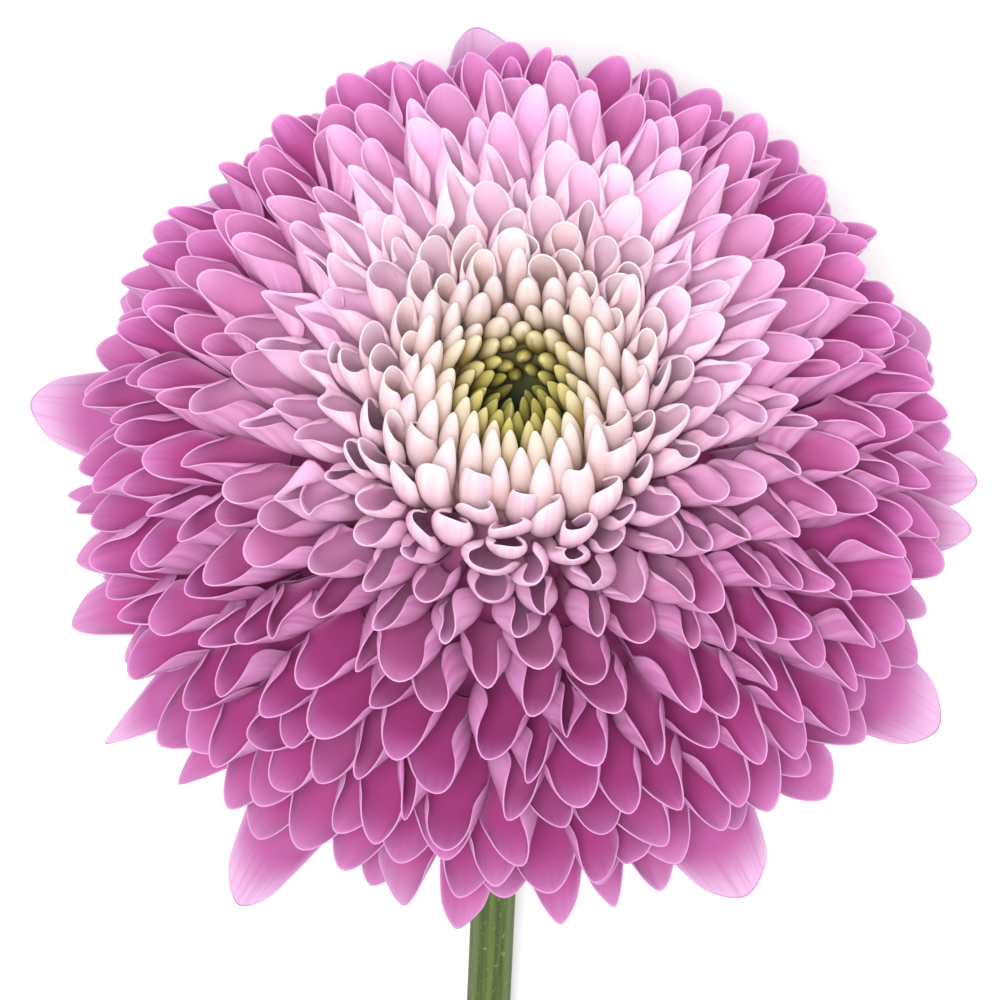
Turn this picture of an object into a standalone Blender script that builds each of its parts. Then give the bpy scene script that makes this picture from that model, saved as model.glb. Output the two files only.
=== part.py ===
"""Disbud chrysanthemum: one large bloom on a cut stem, laid on its side.

Four solids: the stem, the calyx under the head, the ray florets fused with the packed
middle of the head, and the green eye. Everything is set out in millimetres in the bloom's
own frame (Z is the bloom's axis, the origin is the middle of the receptacle), then turned
so that the head leans on its lowest petals and on the stem's cut end.
"""

import math
import random

import bmesh
import bpy
from mathutils import Matrix, Vector

MM = 0.001
SEED = 7
GOLDEN_ANGLE = math.radians(137.50776)

# How the cut flower lies
BLOOM_RISE = 43.0
BLOOM_HEIGHT = 48.5
BLOOM_X = -1.264
BLOOM_Y = -69.605
FLOOR_GAP = 0.4

# Ray florets, by the polar angle of their tips from the bloom's axis: reach of the tip,
# spacing of tips, lean of the tip, section radius, curl of one half (radians), incurve
STATIONS = (
    (0, 44, 1.15, -40, 0.70, 2.9, 4),
    (4, 45, 1.6, -34, 0.98, 2.9, 8),
    (7, 46.6, 2.2, -26, 1.34, 2.85, 14),
    (11, 49.3, 3.1, -14, 1.85, 2.75, 26),
    (15.5, 52, 4.1, -4, 2.4, 2.6, 40),
    (20.5, 54, 5.2, 6, 2.85, 2.35, 54),
    (27, 55, 6.2, 14, 3.3, 2.05, 62),
    (40, 55.3, 7.4, 20, 3.9, 1.7, 60),
    (60, 55.3, 8.4, 20, 4.6, 1.35, 50),
    (78, 55.3, 8.8, 17, 5.3, 1.1, 38),
    (90, 55, 9.4, 12, 6.5, 0.8, 24),
    (110, 54, 9.4, 9, 8.0, 0.6, 12),
)
FIRST_POLAR = 0.8
LAST_POLAR = 92.0
EYE_POLAR = 7.0
RECEPTACLE = 9.0
RECEPTACLE_RISE = 3.0

# Guard petals, the outermost row: azimuth of each and how far it reaches
GUARDS = (
    (-7.5, 62), (22, 58.5), (36.5, 63), (61.5, 63.5), (86.5, 57.5), (96.5, 58), (108, 56),
    (119.5, 62), (136.5, 56.5), (153.5, 63.5), (176.5, 58), (-174.5, 59.5), (-156, 57.5),
    (-83.5, 61), (-139, 57), (-122, 58), (-106, 60), (-73, 60), (-57, 59), (-41, 58), (-24, 58),
    (7, 57), (48, 57), (74, 57), (128, 57), (165, 57),
)
GUARD_POLAR = 97.0
GUARD_SPREAD = 4.0
ROOT_HEIGHT = -0.5
GUARD_FORM = (11, 6, 10, 0.6, 8)
RESTING = (-106, -73)

# Solid version of the florets
BLADE = 0.9
WIDTHS = (0.62, 0.62, 0.72, 0.92)
CORE_RADIUS = 40.0
CORE_FLOOR = 33.0
CROWN = 14.0
CORE_UNDERSIDE = ((0, -2.5), (12.5, -2.5), (25, 1.5), (38, 7))
CORE_ARCS = (60, 42, 24)
CORE_TOP = 8.5
CORE_SIDES = 14
SUNK = 6.0
FULL_POLAR = 88.0
EYE_CLEAR = 7.4
NODE_GAP = 0.3
EYE_WIDTH = 0.8
EYE_SKIP = 10.2
EYE_BASE = ((0, 0), (5.6, 0), (6.1, 1.5), (5.8, 6), (0, 6.5))
EYE_SIDES = 20
FINGER_FOOT = 3.0

# Calyx and stem
CALYX_BOTTOM = -9.5
CUP = ((0, -2.8), (10.2, -2.8), (10.6, -3.7), (8.6, -6.0), (5.4, -7.9), (4.3, -9.5), (0, -9.5))
CUP_SIDES = 28
BRACT_ROWS = (
    # number, phase, root radius, root height, reach, rise, half width
    (12, 0.0, 8.6, -4.6, 7.0, -0.9, 2.1),
    (12, 0.5, 7.4, -6.0, 6.2, -0.2, 2.0),
    (10, 0.2, 6.0, -7.6, 5.4, 0.4, 1.8),
)
BRACT_OUTLINE = ((-0.25, 0.8), (0.45, 1.0), (0.8, 0.62))
BRACT = 0.8
STEM_RADIUS = 3.2
STEM_RIB = 0.22
STEM_RIBS = 8
STEM_FLARE = 0.7
STEM_SLOPE = 3.0
STEM_STRAIGHT = 110.0
STEM_RINGS = 20
CUT_SLANT = 18.0


def mixed(a, b, t):
    return a + (b - a) * t


def smooth(low, high, x):
    t = min(1.0, max(0.0, (x - low) / (high - low)))
    return t * t * (3 - 2 * t)


def station(polar):
    for low, high in zip(STATIONS, STATIONS[1:]):
        if polar <= high[0]:
            t = (polar - low[0]) / (high[0] - low[0])
            return [mixed(a, b, t) for a, b in zip(low[1:], high[1:])]
    return list(STATIONS[-1][1:])


class Floret:
    """One ray floret: a spine in its own meridian plane and a cupped section along it."""

    def __init__(self, azimuth, polar, root, form, draw, guard=False):
        reach, _, lean, radius, curl, incurve = form
        ease = 0.6 if polar < 8 else 1.0
        self.azimuth = azimuth
        self.polar = polar
        self.guard = guard
        self.reach = reach * (1 + 0.035 * draw.uniform(-1, 1) * ease)
        self.lean = lean + 9 * draw.uniform(-1, 1) * ease
        self.radius = radius * (1 + 0.12 * draw.uniform(-1, 1))
        self.curl = curl * (1 + 0.1 * draw.uniform(-1, 1))
        self.incurve = incurve * (1 + 0.35 * draw.uniform(-1, 1))
        self.twist = math.radians(28 * draw.uniform(-1, 1))
        self.side = 2.4 * draw.uniform(-1, 1) * ease
        self.closed = smooth(1.5, 2.7, curl)
        self.spine, self.angles = self.make_spine(root)

    def make_spine(self, root, steps=40):
        """Points (radius, height) and directions of the spine, root to tip."""
        polar = math.radians(self.polar)
        end = math.radians(self.polar + self.lean)
        tip = (self.reach * math.sin(polar), self.reach * math.cos(polar))
        share = mixed(0.1, 0.45, smooth(5, 25, self.polar))
        gap = share * math.dist(root, tip)
        knee = (tip[0] - gap * math.sin(end), tip[1] - gap * math.cos(end))
        spine = [root]
        angles = []
        for i in range(steps):
            t = (i + 0.5) / steps
            across, up = (
                2 * ((1 - t) * (knee[k] - root[k]) + t * (tip[k] - knee[k])) / steps
                for k in (0, 1)
            )
            angle = math.atan2(across, up)
            angle -= math.radians(self.incurve) * smooth(0.35, 1.0, t)
            length = math.hypot(across, up)
            r, z = spine[-1]
            spine.append((r + length * math.sin(angle), z + length * math.cos(angle)))
            angles.append(angle)
        angles.append(angles[-1])
        miss = [tip[k] - spine[-1][k] for k in (0, 1)]
        spine = [
            (r + miss[0] * i / steps, z + miss[1] * i / steps)
            for i, (r, z) in enumerate(spine)
        ]
        return spine, angles

    def along(self, s):
        x = min(max(s, 0.0), 1.0) * (len(self.spine) - 1)
        i = min(int(x), len(self.spine) - 2)
        t = x - i
        (r0, z0), (r1, z1) = self.spine[i], self.spine[i + 1]
        angle = mixed(self.angles[i], self.angles[i + 1], t)
        return mixed(r0, r1, t), mixed(z0, z1, t), angle

    def fill(self, u):
        """Share of the full section at u: narrow at the root, rounded at the tip."""
        if u < 0.8:
            return 0.2 + 0.8 * smooth(0.2, 0.8, u)
        x = (u - 0.8) / 0.2
        return mixed(1 - 0.42 * x * x, math.sqrt(1 - 0.94 * x * x), self.closed)

    def point(self, u, v, back=0.0, narrow=1.0):
        """Place on the inner face at u along and v across (-1 to 1), moved back by the wall."""
        taper = 0.08 if self.guard else 0.11
        r, z, angle = self.along(u - taper * abs(v) ** 1.8 * smooth(0.5, 1.0, u))
        fill = self.fill(u) * narrow
        rho = self.radius * fill ** self.closed
        arc = self.curl * fill ** (1 - self.closed) * v
        across = (rho + back) * math.sin(arc)
        depth = rho - (rho + back) * math.cos(arc)
        turn = self.twist * smooth(0.3, 1.0, u)
        across, depth = (
            across * math.cos(turn) - depth * math.sin(turn),
            across * math.sin(turn) + depth * math.cos(turn),
        )
        r -= depth * math.cos(angle)
        z += depth * math.sin(angle)
        across += self.side * u * u
        c, s = math.cos(self.azimuth), math.sin(self.azimuth)
        return Vector((r * c - across * s, r * s + across * c, z))


def plan_bloom():
    """All florets from the middle out, on a golden-angle spiral, then the guard petals."""
    draw = random.Random(SEED)
    polars = []
    polar = FIRST_POLAR
    while polar < LAST_POLAR:
        reach, spacing = station(polar)[:2]
        polars.append(polar)
        ring = 2 * math.pi * reach ** 2 * math.sin(math.radians(polar))
        polar += math.degrees(spacing ** 2 / ring)
    florets = []
    for i, polar in enumerate(polars):
        r = RECEPTACLE * math.sqrt((i + 0.5) / len(polars))
        root = (r, RECEPTACLE_RISE * (1 - (r / RECEPTACLE) ** 2))
        florets.append(Floret(i * GOLDEN_ANGLE, polar, root, station(polar), draw))
    for azimuth, reach in GUARDS:
        polar = GUARD_POLAR + GUARD_SPREAD * draw.uniform(-1, 1)
        form = (reach, *GUARD_FORM)
        florets.append(
            Floret(math.radians(azimuth), polar, (RECEPTACLE, ROOT_HEIGHT), form, draw, guard=True)
        )
    return florets


def bloom_place():
    """Bloom frame to the floor's frame, in millimetres."""
    turn = Matrix.Rotation(math.radians(90 - BLOOM_RISE), 4, "X")
    return Matrix.Translation((BLOOM_X, BLOOM_Y, BLOOM_HEIGHT)) @ turn


def bend_to_floor(points, shares, resting):
    """Bends a petal about its root until its lowest point clears the floor, or rests on it."""
    target = 0.0 if resting else FLOOR_GAP
    for _ in range(12):
        low = min(p.z for p in points)
        if low > target and not resting:
            return
        for p, share in zip(points, shares):
            p.z += (target - low) * share * share


def section(floret, u, width):
    """Four corners of a floret's solid section: right, inner, left and outer."""
    if floret.curl > 2.2:
        quarter = 0.5 * math.pi / floret.curl
        sides = ((quarter, 0), (2 * quarter, 0), (-quarter, 0), (0, 0.1))
    else:
        sides = ((1, 0), (0, 0), (-1, 0), (0, BLADE))
    return [floret.point(u, v, back, width) for v, back in sides]


def solid_width(floret):
    """Share of the full width that keeps a solid floret clear of most of its neighbours."""
    if floret.guard:
        return WIDTHS[3]
    if floret.polar < 24:
        return WIDTHS[0]
    return WIDTHS[1] if floret.polar < 50 else WIDTHS[2]


def root_share(floret):
    """Share along the spine where a floret leaves the core, less the depth it is sunk."""
    if floret.polar > FULL_POLAR:
        return 0.06
    for i, (r, z) in enumerate(floret.spine):
        if math.hypot(r, z) > CORE_RADIUS - SUNK or (z > CORE_FLOOR - SUNK and r < CROWN):
            return i / (len(floret.spine) - 1)
    return 0.5


def blade(floret, shares, width, place):
    """Closed mesh of one floret: rings at the given shares and a point at the tip."""
    rings = [section(floret, u, width) for u in shares]
    tip = floret.point(1.0, 0.0, 0.2)
    points = [place @ p for ring in rings for p in ring] + [place @ tip]
    heights = [u for u in shares for _ in range(4)] + [1.0]
    faces = [(0, 3, 2, 1)]
    for i in range(len(shares) - 1):
        a = 4 * i
        for k in range(4):
            n = (k + 1) % 4
            faces.append((a + k, a + n, a + 4 + n, a + 4 + k))
    last = 4 * (len(shares) - 1)
    for k in range(4):
        faces.append((last + k, last + (k + 1) % 4, len(points) - 1))
    return points, heights, faces


def mesh_object(name, points, faces):
    """A triangulated object from points in millimetres, facing out."""
    mesh = bpy.data.meshes.new(name)
    bm = bmesh.new()
    verts = [bm.verts.new(p * MM) for p in points]
    for face in faces:
        bm.faces.new([verts[i] for i in face])
    bmesh.ops.triangulate(bm, faces=bm.faces[:])
    bmesh.ops.recalc_face_normals(bm, faces=bm.faces[:])
    bm.to_mesh(mesh)
    bm.free()
    obj = bpy.data.objects.new(name, mesh)
    bpy.context.scene.collection.objects.link(obj)
    return obj


def lathe(name, profile, segments, place):
    """A solid of revolution about the bloom's axis, from (radius, height) pairs."""
    points = []
    rings = []
    for r, z in profile:
        if r == 0:
            rings.append([len(points)] * segments)
            points.append(place @ Vector((0, 0, z)))
            continue
        rings.append([len(points) + k for k in range(segments)])
        for k in range(segments):
            a = 2 * math.pi * k / segments
            points.append(place @ Vector((r * math.cos(a), r * math.sin(a), z)))
    faces = []
    for low, high in zip(rings, rings[1:]):
        for k in range(segments):
            n = (k + 1) % segments
            corners = dict.fromkeys((low[k], low[n], high[n], high[k]))
            faces.append(tuple(corners))
    return mesh_object(name, points, faces)


def fuse(base, others):
    """One body: the others united with the base, and any sealed scrap dropped."""
    group = bpy.data.collections.new(base.name + "_parts")
    for obj in others:
        group.objects.link(obj)
    union = base.modifiers.new("union", "BOOLEAN")
    union.operation = "UNION"
    union.operand_type = "COLLECTION"
    union.collection = group
    union.solver = "MANIFOLD"
    graph = bpy.context.evaluated_depsgraph_get()
    mesh = bpy.data.meshes.new_from_object(base.evaluated_get(graph))
    base.modifiers.clear()
    base.data = mesh
    for obj in others:
        bpy.data.objects.remove(obj)
    bpy.data.collections.remove(group)
    keep_largest(base)
    return base


def keep_largest(obj):
    """Leaves only the shell with the most faces."""
    bm = bmesh.new()
    bm.from_mesh(obj.data)
    left = set(bm.verts)
    shells = []
    while left:
        shell = {left.pop()}
        front = list(shell)
        while front:
            vert = front.pop()
            for edge in vert.link_edges:
                other = edge.other_vert(vert)
                if other not in shell:
                    shell.add(other)
                    front.append(other)
        left -= shell
        shells.append(shell)
    shells.sort(key=len)
    loose = [vert for shell in shells[:-1] for vert in shell]
    bmesh.ops.delete(bm, geom=loose, context="VERTS")
    bm.to_mesh(obj.data)
    bm.free()


def material(name, colour, roughness):
    made = bpy.data.materials.new(name)
    made.use_nodes = True
    shader = made.node_tree.nodes["Principled BSDF"]
    shader.inputs["Base Color"].default_value = (*colour, 1.0)
    shader.inputs["Roughness"].default_value = roughness
    return made


def finish(obj, name, made):
    obj.name = name
    obj.data.name = name
    obj.data.materials.clear()
    obj.data.materials.append(made)


def clear_of_eye(point, floret_is_eye):
    """Keeps the eye and the ray florets either side of one narrow gap."""
    r = math.hypot(point.x, point.y)
    if floret_is_eye:
        limit = min(r, EYE_CLEAR - 0.5 * NODE_GAP)
    else:
        limit = max(r, EYE_CLEAR + 0.5 * NODE_GAP)
    if r > 0:
        point.x *= limit / r
        point.y *= limit / r


def build_rays(florets, place):
    profile = list(CORE_UNDERSIDE)
    for polar in CORE_ARCS:
        a = math.radians(polar)
        profile.append((CORE_RADIUS * math.sin(a), CORE_RADIUS * math.cos(a)))
    profile += [(CORE_TOP, CORE_FLOOR), (0, CORE_FLOOR)]
    core = lathe("rays", profile, CORE_SIDES, place)
    back = place.inverted()
    blades = []
    for i, floret in enumerate(florets):
        if floret.polar < EYE_SKIP:
            continue
        root = root_share(floret)
        if floret.polar < FULL_POLAR:
            shares = (root, 0.87)
        else:
            shares = (root, mixed(max(root, 0.3), 1, 0.5), 0.88)
        points, heights, faces = blade(floret, shares, solid_width(floret), place)
        if floret.polar < 20:
            for p in points:
                local = back @ p
                clear_of_eye(local, False)
                p.xyz = place @ local
        azimuth = round(math.degrees(floret.azimuth))
        bend_to_floor(points, heights, floret.guard and azimuth in RESTING)
        blades.append(mesh_object(f"ray_{i}", points, faces))
    return fuse(core, blades)


def build_eye(florets, place):
    base_z = CORE_FLOOR + NODE_GAP
    base = lathe("eye", [(r, base_z + z) for r, z in EYE_BASE], EYE_SIDES, place)
    back = place.inverted()
    fingers = []
    for i, floret in enumerate(florets):
        if floret.polar > EYE_POLAR:
            continue
        foot = base_z + FINGER_FOOT
        root = next(u for u in range(100) if floret.along(u / 100)[1] > foot) / 100
        points, _, faces = blade(floret, (root, 0.93), EYE_WIDTH, place)
        for p in points:
            local = back @ p
            clear_of_eye(local, True)
            p.xyz = place @ local
        fingers.append(mesh_object(f"finger_{i}", points, faces))
    return fuse(base, fingers)


def build_calyx(place):
    cup = lathe("calyx", CUP, CUP_SIDES, place)
    bracts = []
    for row, (number, phase, radius, height, reach, rise, half) in enumerate(BRACT_ROWS):
        for k in range(number):
            a = 2 * math.pi * (k + phase) / number
            out = Vector((math.cos(a), math.sin(a), 0))
            side = Vector((-math.sin(a), math.cos(a), 0))
            up = Vector((0, 0, 1))
            points = []
            for share, width in BRACT_OUTLINE:
                middle = out * (radius + reach * share) + up * (height + rise * share)
                points += [
                    middle + side * half * width + up * 0.25,
                    middle + up * 0.1,
                    middle - side * half * width + up * 0.25,
                    middle - up * BRACT,
                ]
            points.append(out * (radius + reach) + up * (height + rise - 0.2))
            faces = [(0, 3, 2, 1)]
            for i in (0, 4):
                for c in range(4):
                    n = (c + 1) % 4
                    faces.append((i + c, i + n, i + 4 + n, i + 4 + c))
            faces += [(8 + c, 8 + (c + 1) % 4, 12) for c in range(4)]
            bracts.append(mesh_object(f"bract_{row}_{k}", [place @ p for p in points], faces))
    return fuse(cup, bracts)


def stem_path(place):
    """Centre points and directions: an arc out of the calyx, then nearly level to the cut."""
    start = place @ Vector((0, 0, CALYX_BOTTOM - NODE_GAP))
    steep = math.radians(BLOOM_RISE)
    level = math.radians(STEM_SLOPE)
    foot = STEM_RADIUS * math.cos(level) + STEM_STRAIGHT * math.sin(level)
    radius = (start.z - foot) / (math.cos(level) - math.cos(steep))
    arc = radius * (steep - level)
    whole = arc + STEM_STRAIGHT
    path = []
    for i in range(STEM_RINGS + 1):
        s = whole * i / STEM_RINGS
        on_arc = min(s, arc)
        slope = steep - on_arc / radius
        y = start.y + radius * (math.sin(steep) - math.sin(slope))
        z = start.z - radius * (math.cos(slope) - math.cos(steep))
        beyond = s - on_arc
        y += beyond * math.cos(slope)
        z -= beyond * math.sin(slope)
        path.append((Vector((start.x, y, z)), Vector((0, math.cos(slope), -math.sin(slope))), s / whole))
    return path


def stem_radius(share, angle):
    flare = STEM_FLARE * math.exp(-share / 0.035)
    rib = 0.5 * STEM_RIB * (1 + math.cos(STEM_RIBS * angle)) - STEM_RIB
    return STEM_RADIUS + flare + rib


def build_stem(place):
    path = stem_path(place)
    segments = 2 * STEM_RIBS
    points = []
    for i, (centre, direction, share) in enumerate(path):
        over = direction.cross(Vector((1, 0, 0))).normalized()
        for k in range(segments):
            a = 2 * math.pi * k / segments
            offset = (Vector((1, 0, 0)) * math.sin(a) - over * math.cos(a)) * stem_radius(share, a)
            p = centre + offset
            if i == len(path) - 1:
                p += direction * offset.dot(over) * math.tan(math.radians(CUT_SLANT))
            points.append(p)
    faces = [tuple(reversed(range(segments)))]
    for i in range(len(path) - 1):
        a = i * segments
        for k in range(segments):
            n = (k + 1) % segments
            faces.append((a + k, a + n, a + segments + n, a + segments + k))
    faces.append(tuple(range(len(points) - segments, len(points))))
    low = min(p.z for p in points)
    for p, (_, _, share) in zip(points, (row for row in path for _ in range(segments))):
        p.z -= low * share * share
    return mesh_object("stem", points, faces)


def main():
    for obj in list(bpy.data.objects):
        bpy.data.objects.remove(obj)
    place = bloom_place()
    florets = plan_bloom()
    rose = material("rose_florets", (0.62, 0.22, 0.48), 0.55)
    lime = material("lime_florets", (0.30, 0.28, 0.06), 0.55)
    leaf = material("calyx_green", (0.13, 0.21, 0.06), 0.6)
    stalk = material("stem_green", (0.10, 0.16, 0.035), 0.6)
    finish(build_rays(florets, place), "ray_florets", rose)
    finish(build_eye(florets, place), "eye_florets", lime)
    finish(build_calyx(place), "calyx", leaf)
    finish(build_stem(place), "stem", stalk)


main()
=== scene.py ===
"""Disbud chrysanthemum: the fine florets, calyx and stem of one cut bloom, and its stage."""

import random
from math import atan2, copysign, cos, degrees, dist, exp, hypot, inf, pi, radians, remainder
from math import sin, sqrt, tan
from statistics import mean

import bmesh
import bpy
from bpy.props import FloatProperty, FloatVectorProperty, IntProperty, PointerProperty
from mathutils import Matrix, Vector
from mathutils.bvhtree import BVHTree


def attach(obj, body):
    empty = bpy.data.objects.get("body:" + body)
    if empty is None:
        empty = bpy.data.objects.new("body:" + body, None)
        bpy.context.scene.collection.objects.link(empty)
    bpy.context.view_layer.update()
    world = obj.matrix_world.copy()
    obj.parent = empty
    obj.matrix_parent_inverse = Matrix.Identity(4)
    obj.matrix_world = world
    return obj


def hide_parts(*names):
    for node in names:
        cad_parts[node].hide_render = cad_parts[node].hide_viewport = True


bl_info = {
    "name": "Disbud chrysanthemum",
    "version": (1, 0, 0),
    "blender": (4, 5, 0),
    "location": "3D View > Sidebar > Bloom",
    "description": "Grows one large chrysanthemum bloom on a cut stem, floret by floret",
    "category": "Add Mesh",
}

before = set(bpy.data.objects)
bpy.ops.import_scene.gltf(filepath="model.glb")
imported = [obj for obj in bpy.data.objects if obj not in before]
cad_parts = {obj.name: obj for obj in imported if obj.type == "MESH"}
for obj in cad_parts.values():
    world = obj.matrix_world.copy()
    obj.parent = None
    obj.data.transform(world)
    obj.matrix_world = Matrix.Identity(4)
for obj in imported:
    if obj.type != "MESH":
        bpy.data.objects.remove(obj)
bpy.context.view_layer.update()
BODY = "root"
MM = 0.001
GOLDEN_ANGLE = radians(137.50776)

# Ray florets, by the polar angle of their tips from the bloom's axis: reach of the tip,
# spacing of tips, lean of the tip, section radius, curl of one half (radians), incurve
STATIONS = (
    (0, 45.5, 1.15, -34, 0.72, 3.0, 6),
    (4, 46.8, 1.5, -32, 1.04, 3.0, 10),
    (7, 48.7, 1.95, -27, 1.32, 3.0, 14),
    (11, 51.4, 2.7, -13, 1.7, 2.9, 18),
    (15.5, 53.4, 3.5, -5, 2.15, 2.9, 26),
    (20.5, 54.6, 4.5, 3, 2.8, 2.7, 26),
    (27, 55.2, 5.5, 9, 3.5, 2.2, 22),
    (40, 55.4, 6.6, 16, 4.0, 1.9, 26),
    (60, 55.3, 7.5, 20, 4.2, 1.7, 32),
    (78, 55.3, 8.0, 18, 4.8, 1.4, 30),
    (90, 55, 8.6, 14, 6.4, 0.95, 22),
    (110, 54, 9.0, 9, 7.6, 0.7, 12),
)
FIRST_POLAR = 0.8
LAST_POLAR = 92.0
RECEPTACLE = 9.0
RECEPTACLE_RISE = 3.0

# Guard petals, the outermost row: azimuth of each, how far it reaches, how blunt and how wide
GUARDS = (
    (-8.5, 62.5, 0.7, 1.05), (12, 58, 0.5, 0.85), (21.5, 58.5, 0.6, 0.9), (34.5, 62.5, 0.15, 0.85),
    (58.5, 63, 0.7, 0.95), (74, 55, 0.6, 0.8), (84.5, 56.3, 0.6, 0.9), (96.5, 56.5, 0.5, 0.8),
    (107, 55, 0.4, 0.7), (120, 60.5, 0.8, 1.1), (135, 56, 0.9, 1.0), (155.5, 65, 0.8, 1.1),
    (177.5, 60, 0.6, 0.8), (-175.5, 61, 0.7, 1.0), (-156, 58.5, 0.9, 1.1), (-82.5, 63.3, 0.8, 1.0),
    (-139, 57, 0.5, 1.0), (-122, 58, 0.5, 1.0), (-106, 59.5, 0.5, 1.0), (-73, 59.5, 0.5, 1.0),
    (-57, 59, 0.5, 1.0), (-41, 59.5, 0.9, 1.1), (-24, 58, 0.5, 1.0), (3, 57, 0.3, 0.8),
    (46, 57, 0.3, 0.8), (126, 57, 0.5, 0.9), (164, 57, 0.5, 0.9),
)

# Polar angle of their tips and how far it varies, their form as in STATIONS from the spacing on,
# the height of their roots, the azimuths of the two that the bloom rests on, how far all others
# stay above the floor, and how often they are lifted to get there
GUARD_POLAR = 97.0
GUARD_SPREAD = 4.0
GUARD_FORM = (11, 6, 10.5, 0.64, 8)
ROOT_HEIGHT = -0.5
RESTING = (-106, -73)
FLOOR_GAP = 0.4
LIFT_TRIES = 12

# Pieces of the head, by the polar angle where each ends
EYE_PIECE = "eye_buds"
BUD_PIECE = "cream_buds"
BUD_POLAR = 14.5
ZONES = (
    (EYE_PIECE, 7.5),
    (BUD_PIECE, BUD_POLAR),
    ("pale_florets", 34.0),
    ("cupped_florets", 58.0),
    ("rose_florets", 75.0),
    ("outer_florets", 180.0),
)
MARKS = ("age", "along", "across", "tint")

# Faces of one floret, the share of its length that others hide, and where they hide none
ACROSS, ALONG = 8, 8
BUD_SIDES, BUD_RINGS = 12, 10
HIDDEN = 0.6
SHOWN_POLAR = 75.0

# How much florets vary, each way: reach, width, curl, incurve and sway as shares, lean (near
# the eye and at the rim) and turn in degrees. Buds vary less in place, more in width
VARY_REACH = 0.03
VARY_LEAN = (4, 9)
VARY_WIDTH = 0.12
VARY_BUD_WIDTH = 0.2
VARY_CURL = 0.1
VARY_INCURVE = 0.28
VARY_TURN = 28
VARY_SWAY = 0.28
WIDEST_SWAY = 8.0
BUD_EASE = 0.7
UPPER_FULLER = 0.25

# What the second draws vary: how much further a cup has closed, skew, ripple, keel, how rare a
# notch is and up to where there are any, and the age that colours go by
CLOSER = (0.35, 0.6)
SKEW, RIPPLE, KEEL = 0.32, 0.35, (0.1, 0.55)
NOTCH_RARE, NOTCHED_POLAR = -2.2, 80
DRIFT = 0.03
GUARD_AGES = (0.9, 0.98)

# How much paler the upper side is and darker the lower side, as painted light and shade; how much paler
# the whole head is, and the upper side of the eye
PAINTED_SIDE_LIGHT, PALER, PALER_EYE = 0.09, 0.02, 0.012

# Form of a floret along its length: how far behind the tip its bend is, where its incurve and
# its end hook start, where it starts to turn, how far its margins end behind the tip, how
# tightly it is rolled lower down, where it opens, how bowed its section is, how much shallower
# some are, and their notches and ripples
KNEE = (0.28, 0.45)
SPINE_STEPS = 60
INCURVE_FROM = 0.55
HOOK = 18.0
HOOK_FROM = 0.9
TURN = 22.0
TURN_FROM = 0.3
SLANT = (0.13, 0.1)
GUARD_SLANT = 0.08
TUBE, TUBE_CLOSER = 3.0, 0.35
OPENS, OPEN_FULLY = (0.79, 0.7), 0.93
BOW = (0.6, 0.95)
SHALLOWER = 0.2
NOTCH_DEPTH, NOTCH_PLACE, NOTCH_WIDTH = 0.05, 0.05, 0.3
RIPPLE_LENGTH = 1.4

# The eye nods to the upper side: its slope, and the height that this starts from and grows by
NOD = 34.0
NOD_FROM = 41.0
NOD_RISE = 20.0

# Width along a floret, as a share: at the root, from where a guard petal is full and from where
# it tapers, how much an open floret narrows from where on, and the steps that a section is
# reckoned in
ROOT_WIDTH = 0.12
GUARD_ROOT_WIDTH = 0.15
GUARD_FULL = 0.75
GUARD_TAPER = 0.55
TIP_FROM, TIP_NARROWS = 0.9, 0.32
SECTION_STEPS = 8

# A closed bud: its length and swelling by its radius, how blunt it is, its crease and flatness,
# and how near the axis a point counts as on it
BUD_LENGTHS = (7, 5)
BUD_SWELL = 6.5
BUD_BLUNT = (0.5, 0.7)
CREASE_WIDTH, CREASE_DEPTH = 0.35, 0.2
BUD_FLAT = 0.85
TINY = 0.001

# Florets press against those inside them: how near two tips are to be looked at, from where on
# their length shows, the gap left, the steps looked at, the least width, and what is tried:
# cups made flatter, and nudges sideways and in lean
NEAR = 13.0
OPEN_PART = 0.74
PRESS_GAP = 0.07
PRESS_STEPS = 6
NARROWEST = 0.3
FLATS = (1.0, 0.75, 0.5, 0.3)
NUDGES = ((0, 0), (0, 7), (1.4, 3), (-1.4, 3), (0, 13), (2.4, 6), (-2.4, 6))

# What counts against a nudge: a crossing along the middle, a flattened cup, and the nudge
# itself, and what is good enough
CROSSED_MIDDLE = 3
CROSSED_FLAT = 0.25
NUDGE_COST, TILT_COST = 0.02, 0.2
GOOD_ENOUGH = 0.6

# Middle of the head: its underside (radius and height), and how high it stands by polar angle
UNDERSIDE = ((0, -2.5), (12, -2.5), (22, 1.5), (30, 7))
MIDDLE = ((66, 31), (52, 32.5), (40, 33.5), (30, 35), (22, 38), (16, 42), (9, 42), (4, 40), (0, 38.5))
TURNED_STEPS = 48

# Calyx, in the bloom's frame, in millimetres: its cup, and for each row of bracts their number,
# phase, radius and height of the root, reach, rise and half width
CUP_BOTTOM = -9.5
CUP = (
    (0, -2.8), (9.6, -2.8), (10.5, -3.2), (10.4, -4.2), (8.6, -6.0), (5.4, -7.9), (4.4, -9.2),
    (0, CUP_BOTTOM),
)
BRACT_ROWS = (
    (12, 0.0, 8.6, -4.6, 7.0, -0.9, 2.1),
    (12, 0.5, 7.4, -6.0, 6.2, -0.2, 2.0),
    (10, 0.2, 6.0, -7.6, 5.4, 0.4, 1.8),
)
BRACT_WALL = 0.5
BRACT_ROOT = -0.25
BRACT_FACES = (6, 8)
VARY_BRACT = 0.05

# Stem, in millimetres: the gap to the calyx, how much of its length the flare fades over, the
# ring and the depth of the pith in its cut, and how near two points of its seam are
STEM_GAP = 0.3
STEM_RIBS = 8
STEM_SIDES, STEM_RINGS = 64, 90
FLARE_FADE = 0.035
CUT_RING, CUT_DEPTH = 0.5, 0.1
SEAM = 0.01

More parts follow.
